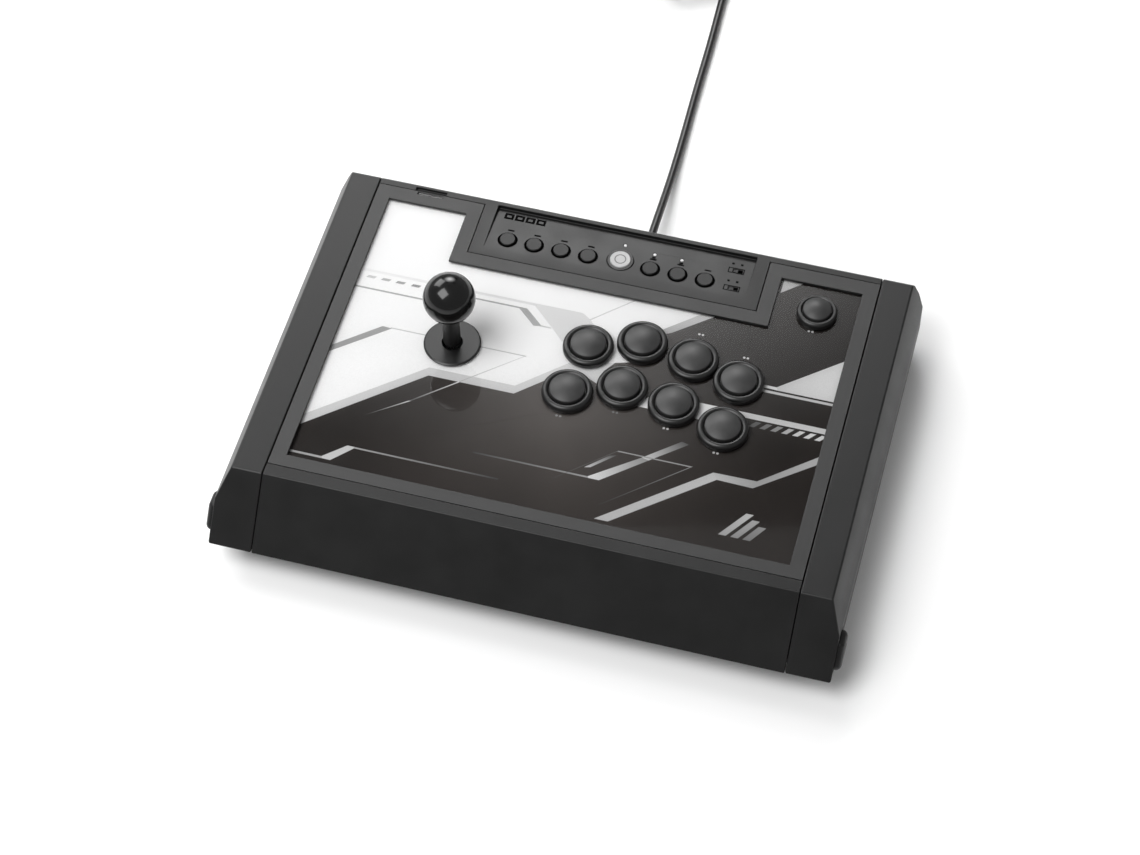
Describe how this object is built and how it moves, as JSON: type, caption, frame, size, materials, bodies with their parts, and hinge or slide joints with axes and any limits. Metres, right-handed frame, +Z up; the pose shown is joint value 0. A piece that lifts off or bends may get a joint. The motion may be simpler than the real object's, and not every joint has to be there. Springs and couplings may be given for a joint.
{
  "type": "arcade joystick panel",
  "caption": "Desktop arcade control panel: ball-top lever, round push buttons and a console strip on a hinged lid with side releases, over a hollow base with a USB lead.",
  "frame": {"origin": "middle of the footprint, on the surface that the feet stand on, cord left out", "axes": "+X to the player's right, +Y away from the player, +Z up"},
  "size_m": [0.426, 0.6748, 0.1275],
  "materials": {
    "case_plastic": "fine-textured satin black ABS",
    "bezel_plastic": "matte grained black ABS",
    "button_plastic": "satin black moulded plastic",
    "ball_lacquer": "polished black",
    "window_acrylic": "clear polished acrylic",
    "art_print": "printed sheet, white, silver and dark weave",
    "plate_steel": "black zinc-coated sheet steel",
    "bright_steel": "plain ground steel",
    "home_white": "translucent white",
    "home_trim": "dark satin ring",
    "board_green": "solder-masked circuit board",
    "silicone": "translucent silicone",
    "switch_case": "moulded switch housing",
    "lens_clear": "frosted clear",
    "lever_nylon": "self-lubricating black nylon",
    "foot_rubber": "moulded rubber",
    "cord_jacket": "flexible PVC jacket, satin black",
    "plug_metal": "nickel-plated steel"
  },
  "bodies": {
    "base": {"base_case": "case_plastic", "ballast_plate": "plate_steel", "ballast_screws": "bright_steel", "rubber_feet": "foot_rubber", "hinge_pins": "bright_steel", "main_board": "board_green", "left_release_spring": "bright_steel", "right_release_spring": "bright_steel", "strain_relief": "cord_jacket", "usb_cable": "cord_jacket", "cable_coil": "cord_jacket", "cable_tie": "cord_jacket", "usb_plug_grip": "cord_jacket", "usb_plug_shell": "plug_metal"},
    "lid": {"upper_case": "case_plastic", "left_cheek": "case_plastic", "right_cheek": "case_plastic", "bezel_frame": "bezel_plastic", "button_housings": "button_plastic", "option_housing": "button_plastic", "dust_washer": "button_plastic", "acrylic_window": "window_acrylic", "art_sheet": "art_print", "steel_plate": "plate_steel", "home_ring": "home_trim", "function_board": "board_green", "key_membrane": "silicone", "button_switches": "switch_case", "lever_switches": "switch_case", "indicator_lenses": "lens_clear", "lever_housing": "lever_nylon", "lever_gate": "lever_nylon"},
    "pivot_bush": {"pivot_bush": "lever_nylon"},
    "stick": {"lever_shaft": "bright_steel", "shaft_cover": "button_plastic", "ball_top": "ball_lacquer", "lever_actuator": "lever_nylon", "retaining_clip": "bright_steel", "centring_spring": "bright_steel"},
    "upper_button_1": {"upper_button_1": "button_plastic"},
    "upper_button_2": {"upper_button_2": "button_plastic"},
    "upper_button_3": {"upper_button_3": "button_plastic"},
    "upper_button_4": {"upper_button_4": "button_plastic"},
    "lower_button_1": {"lower_button_1": "button_plastic"},
    "lower_button_2": {"lower_button_2": "button_plastic"},
    "lower_button_3": {"lower_button_3": "button_plastic"},
    "lower_button_4": {"lower_button_4": "button_plastic"},
    "option_button": {"option_button": "button_plastic"},
    "menu_button_1": {"menu_button_1": "button_plastic"},
    "menu_button_2": {"menu_button_2": "button_plastic"},
    "menu_button_3": {"menu_button_3": "button_plastic"},
    "menu_button_4": {"menu_button_4": "button_plastic"},
    "menu_button_5": {"menu_button_5": "button_plastic"},
    "menu_button_6": {"menu_button_6": "button_plastic"},
    "menu_button_7": {"menu_button_7": "button_plastic"},
    "home_button": {"home_button": "home_white"},
    "upper_mode_switch": {"upper_mode_switch": "button_plastic"},
    "lower_mode_switch": {"lower_mode_switch": "button_plastic"},
    "left_release_button": {"left_release_button": "button_plastic"},
    "right_release_button": {"right_release_button": "button_plastic"}
  },
  "joints": [
    {"name": "lid_hinge", "type": "hinge", "parent": "base", "child": "lid", "pos_m": [0, 0.14725, 0.02625], "axis": [-1, 0, 0], "range_deg": [0, 65]},
    {"name": "stick_front_back", "type": "hinge", "parent": "lid", "child": "pivot_bush", "pos_m": [-0.0898, 0.01975, 0.046], "axis": [1, 0, 0], "range_deg": [-8, 8], "stiffness_Nm_per_rad": 0.8},
    {"name": "stick_left_right", "type": "hinge", "parent": "pivot_bush", "child": "stick", "pos_m": [-0.0898, 0.01975, 0.046], "axis": [0, 1, 0], "range_deg": [-8, 8], "stiffness_Nm_per_rad": 0.8, "deforming": ["centring_spring"]},
    {"name": "upper_button_1_press", "type": "slide", "parent": "lid", "child": "upper_button_1", "axis": [0, 0, -1], "range_m": [0, 0.003], "stiffness_N_per_m": 200, "springref_m": -0.0015},
    {"name": "upper_button_2_press", "type": "slide", "parent": "lid", "child": "upper_button_2", "axis": [0, 0, -1], "range_m": [0, 0.003], "stiffness_N_per_m": 200, "springref_m": -0.0015},
    {"name": "upper_button_3_press", "type": "slide", "parent": "lid", "child": "upper_button_3", "axis": [0, 0, -1], "range_m": [0, 0.003], "stiffness_N_per_m": 200, "springref_m": -0.0015},
    {"name": "upper_button_4_press", "type": "slide", "parent": "lid", "child": "upper_button_4", "axis": [0, 0, -1], "range_m": [0, 0.003], "stiffness_N_per_m": 200, "springref_m": -0.0015},
    {"name": "lower_button_1_press", "type": "slide", "parent": "lid", "child": "lower_button_1", "axis": [0, 0, -1], "range_m": [0, 0.003], "stiffness_N_per_m": 200, "springref_m": -0.0015},
    {"name": "lower_button_2_press", "type": "slide", "parent": "lid", "child": "lower_button_2", "axis": [0, 0, -1], "range_m": [0, 0.003], "stiffness_N_per_m": 200, "springref_m": -0.0015},
    {"name": "lower_button_3_press", "type": "slide", "parent": "lid", "child": "lower_button_3", "axis": [0, 0, -1], "range_m": [0, 0.003], "stiffness_N_per_m": 200, "springref_m": -0.0015},
    {"name": "lower_button_4_press", "type": "slide", "parent": "lid", "child": "lower_button_4", "axis": [0, 0, -1], "range_m": [0, 0.003], "stiffness_N_per_m": 200, "springref_m": -0.0015},
    {"name": "option_button_press", "type": "slide", "parent": "lid", "child": "option_button", "axis": [0, 0, -1], "range_m": [0, 0.003], "stiffness_N_per_m": 200, "springref_m": -0.0015},
    {"name": "menu_button_1_press", "type": "slide", "parent": "lid", "child": "menu_button_1", "axis": [0, 0, -1], "range_m": [0, 0.0008], "stiffness_N_per_m": 700, "springref_m": -0.0005},
    {"name": "menu_button_2_press", "type": "slide", "parent": "lid", "child": "menu_button_2", "axis": [0, 0, -1], "range_m": [0, 0.0008], "stiffness_N_per_m": 700, "springref_m": -0.0005},
    {"name": "menu_button_3_press", "type": "slide", "parent": "lid", "child": "menu_button_3", "axis": [0, 0, -1], "range_m": [0, 0.0008], "stiffness_N_per_m": 700, "springref_m": -0.0005},
    {"name": "menu_button_4_press", "type": "slide", "parent": "lid", "child": "menu_button_4", "axis": [0, 0, -1], "range_m": [0, 0.0008], "stiffness_N_per_m": 700, "springref_m": -0.0005},
    {"name": "menu_button_5_press", "type": "slide", "parent": "lid", "child": "menu_button_5", "axis": [0, 0, -1], "range_m": [0, 0.0008], "stiffness_N_per_m": 700, "springref_m": -0.0005},
    {"name": "menu_button_6_press", "type": "slide", "parent": "lid", "child": "menu_button_6", "axis": [0, 0, -1], "range_m": [0, 0.0008], "stiffness_N_per_m": 700, "springref_m": -0.0005},
    {"name": "menu_button_7_press", "type": "slide", "parent": "lid", "child": "menu_button_7", "axis": [0, 0, -1], "range_m": [0, 0.0008], "stiffness_N_per_m": 700, "springref_m": -0.0005},
    {"name": "home_button_press", "type": "slide", "parent": "lid", "child": "home_button", "axis": [0, 0, -1], "range_m": [0, 0.0008], "stiffness_N_per_m": 700, "springref_m": -0.0005},
    {"name": "upper_mode_switch_slide", "type": "slide", "parent": "lid", "child": "upper_mode_switch", "axis": [1, 0, 0], "range_m": [0, 0.003]},
    {"name": "lower_mode_switch_slide", "type": "slide", "parent": "lid", "child": "lower_mode_switch", "axis": [1, 0, 0], "range_m": [0, 0.003]},
    {"name": "left_release_press", "type": "slide", "parent": "base", "child": "left_release_button", "axis": [1, 0, 0], "range_m": [0, 0.003], "stiffness_N_per_m": 400, "springref_m": -0.001, "deforming": ["left_release_spring"]},
    {"name": "right_release_press", "type": "slide", "parent": "base", "child": "right_release_button", "axis": [-1, 0, 0], "range_m": [0, 0.003], "stiffness_N_per_m": 400, "springref_m": -0.001, "deforming": ["right_release_spring"]}
  ]
}
